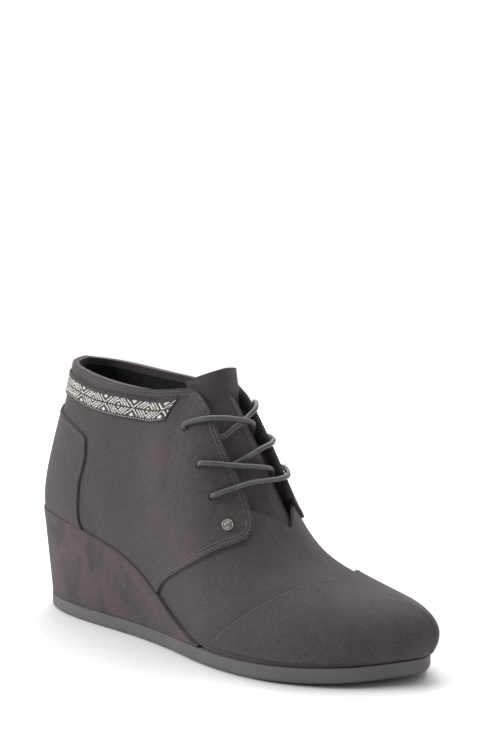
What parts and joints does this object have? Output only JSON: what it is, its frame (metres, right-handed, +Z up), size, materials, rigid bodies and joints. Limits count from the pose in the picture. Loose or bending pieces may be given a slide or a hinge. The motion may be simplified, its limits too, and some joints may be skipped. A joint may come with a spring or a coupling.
{
  "type": "wedge ankle boot",
  "caption": "Right-foot wedge ankle boot with suede upper, covered wedge, rubber sole, lace-up throat, toe cap and woven band under the collar",
  "frame": {"origin": "centre of the bounding box in plan, on the ground under the sole", "axes": "+X from heel to toe, +Y to the inner side of the foot, +Z up"},
  "size_m": [0.2504, 0.091, 0.1382],
  "materials": {
    "suede": "matte mauve-grey suede with a short nap",
    "wedge_suede": "matte mauve-grey suede wrapped over the wedge",
    "rubber": "smooth grey-brown rubber, satin",
    "lining": "near-black textile lining",
    "woven": "cream and dark purple-grey geometric weave",
    "lace": "round waxed cord, cool grey",
    "stud": null
  },
  "bodies": {
    "root": {"outsole": "rubber", "wedge": "wedge_suede", "insole": "lining", "upper": "suede", "quarter_outer": "suede", "quarter_inner": "suede", "heel_counter": "suede", "toe_cap": "suede", "woven_band": "woven", "tongue": "suede", "lace_bar": "lace", "lace_cross_lower": "lace", "lace_cross_upper": "lace", "stud": "stud"}
  },
  "joints": []
}
